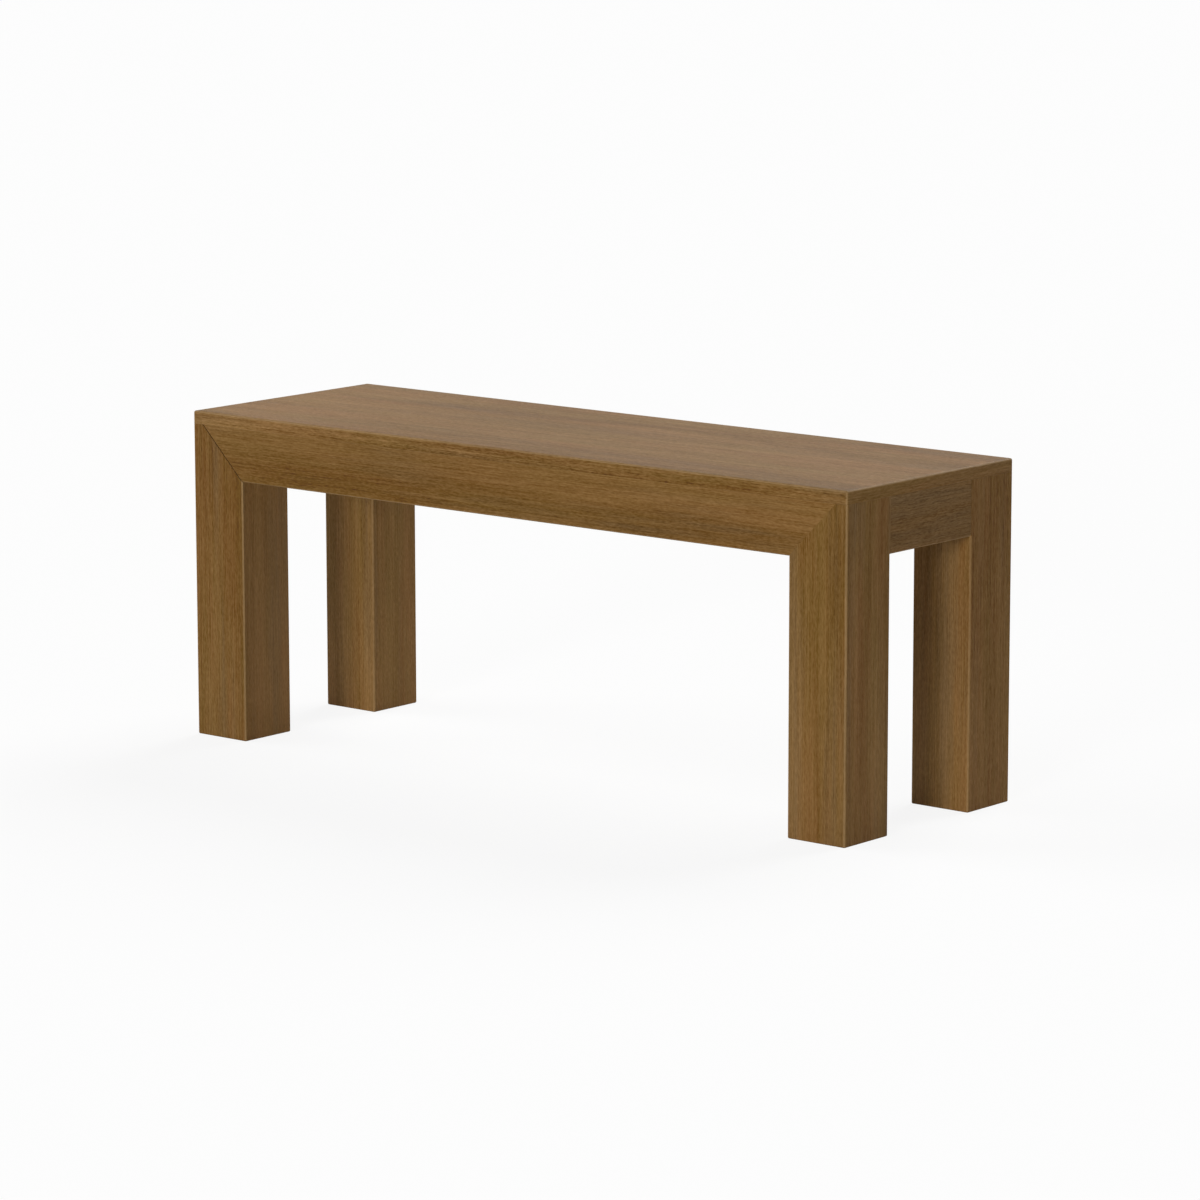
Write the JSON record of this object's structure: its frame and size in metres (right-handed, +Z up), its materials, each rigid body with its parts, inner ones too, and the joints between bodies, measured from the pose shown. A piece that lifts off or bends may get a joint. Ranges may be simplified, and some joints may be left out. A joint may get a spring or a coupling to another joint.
{
  "type": "dining bench",
  "caption": "Backless wooden dining bench: square posts, flush apron rails mitred into the posts on the long sides, thin seat panel, bolted corner blocks.",
  "frame": {"origin": "middle of the bench's outline, on the floor that the legs stand on", "axes": "+X along the seat to the right end seen from the front, +Y from the front to the back, +Z up"},
  "size_m": [1.134, 0.358, 0.457],
  "materials": {
    "seat_wood": "solid wood, wire-brushed, brown stain with a thin greyish matt lacquer",
    "rail_wood": "solid wood, wire-brushed, brown stain with a thin matt lacquer",
    "leg_wood": "solid wood, wire-brushed, brown stain with a thin matt lacquer",
    "inner_wood": "bare planed wood",
    "bolt_steel": "zinc-plated steel",
    "screw_steel": "yellow-passivated steel"
  },
  "bodies": {
    "root": {"back_cleat": "inner_wood", "back_rail": "rail_wood", "bolt_nuts": "bolt_steel", "bolt_washers": "bolt_steel", "cleat_rail_screws": "screw_steel", "cleat_seat_screws": "screw_steel", "corner_block_back_left": "inner_wood", "corner_block_back_right": "inner_wood", "corner_block_front_left": "inner_wood", "corner_block_front_right": "inner_wood", "corner_block_screws": "screw_steel", "front_cleat": "inner_wood", "front_rail": "rail_wood", "hanger_bolts": "bolt_steel", "left_end_rail": "rail_wood", "left_stretcher": "inner_wood", "leg_back_left": "leg_wood", "leg_back_right": "leg_wood", "leg_front_left": "leg_wood", "leg_front_right": "leg_wood", "right_end_rail": "rail_wood", "right_stretcher": "inner_wood", "seat_board_1": "seat_wood", "seat_board_2": "seat_wood", "seat_board_3": "seat_wood", "stretcher_screws": "screw_steel"}
  },
  "joints": []
}
